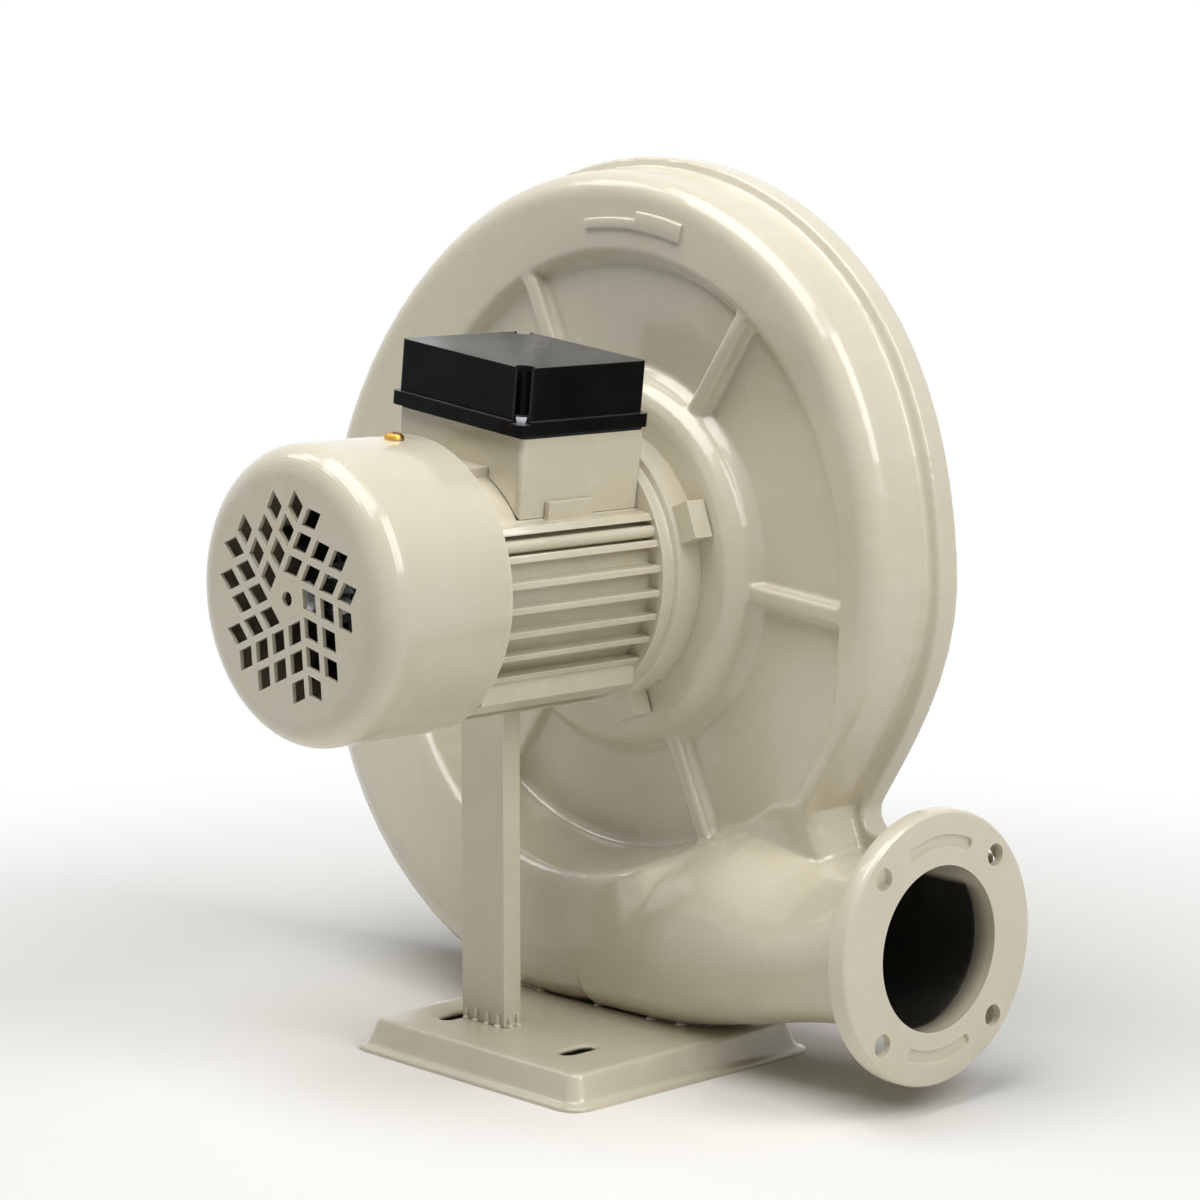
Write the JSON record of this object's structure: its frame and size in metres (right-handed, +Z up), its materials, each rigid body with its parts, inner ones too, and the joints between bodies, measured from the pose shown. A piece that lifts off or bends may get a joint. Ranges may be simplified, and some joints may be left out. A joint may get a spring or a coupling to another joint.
{
  "type": "centrifugal blower",
  "caption": "Centrifugal blower: pressed volute casing with a round flanged outlet, driven by a finned electric motor with a vented cowl and terminal box, on a pressed steel foot.",
  "frame": {"origin": "middle of the foot's underside, on the floor", "axes": "+X out of the outlet flange, +Y along the shaft towards the inlet side, +Z up"},
  "size_m": [0.4373, 0.2625, 0.4242],
  "materials": {
    "cream_paint": "semi-gloss cream paint on pressed steel and cast metal",
    "lid_black": "black semi-gloss moulded plastic",
    "zinc_yellow": "yellow passivated zinc",
    "bright_steel": "bright zinc or ground steel",
    "bearing_steel": "polished bearing steel",
    "core_iron": "laminated electrical steel",
    "copper": "enamelled copper wire",
    "aluminium": "cast or sheet aluminium",
    "moulding_black": "black moulded nylon or phenolic",
    "rubber_black": "black nitrile rubber"
  },
  "bodies": {
    "blower": {"foot": "cream_paint", "motor_post": "cream_paint", "front_casing": "cream_paint", "rear_cover": "cream_paint", "inlet_guard": "bright_steel", "guard_screws": "zinc_yellow", "outlet_flange": "cream_paint", "motor_screws": "bright_steel", "drive_end_shield": "cream_paint", "motor_frame": "cream_paint", "fan_end_shield": "cream_paint", "tie_rods": "cream_paint", "tie_rod_nuts": "bright_steel", "fan_cowl": "cream_paint", "cowl_screws": "zinc_yellow", "terminal_box": "cream_paint", "box_gasket": "rubber_black", "terminal_lid": "lid_black", "lid_screws": "bright_steel", "terminal_board": "moulding_black", "terminal_studs": "zinc_yellow", "gland_body": "moulding_black", "gland_cap": "moulding_black", "stator_core": "core_iron", "stator_windings": "copper", "drive_bearing_outer": "bearing_steel", "fan_bearing_outer": "bearing_steel", "wave_washer": "bright_steel", "shaft_seal": "rubber_black"},
    "rotor": {"shaft": "bright_steel", "shaft_key": "bright_steel", "rotor_core": "core_iron", "rotor_end_rings": "aluminium", "drive_bearing_inner": "bearing_steel", "fan_bearing_inner": "bearing_steel", "cooling_fan": "moulding_black", "fan_circlip": "bright_steel", "impeller_hub": "aluminium", "impeller_backplate": "aluminium", "impeller_blades": "aluminium", "impeller_shroud": "aluminium", "impeller_washer": "zinc_yellow", "impeller_bolt": "zinc_yellow"},
    "drive_balls": {"drive_bearing_balls": "bearing_steel"},
    "fan_balls": {"fan_bearing_balls": "bearing_steel"}
  },
  "joints": [
    {"name": "rotor_spin", "type": "hinge", "parent": "blower", "child": "rotor", "pos_m": [-0.0265, 0, 0.231], "axis": [0, 1, 0], "continuous": true},
    {"name": "drive_ball_roll", "type": "hinge", "parent": "blower", "child": "drive_balls", "pos_m": [-0.0265, 0, 0.231], "axis": [0, 1, 0], "continuous": true},
    {"name": "fan_ball_roll", "type": "hinge", "parent": "blower", "child": "fan_balls", "pos_m": [-0.0265, 0, 0.231], "axis": [0, 1, 0], "continuous": true}
  ],
  "couplings": [
    {"joint": "drive_ball_roll", "follows": "rotor_spin", "ratio": 0.38},
    {"joint": "fan_ball_roll", "follows": "rotor_spin", "ratio": 0.38}
  ]
}
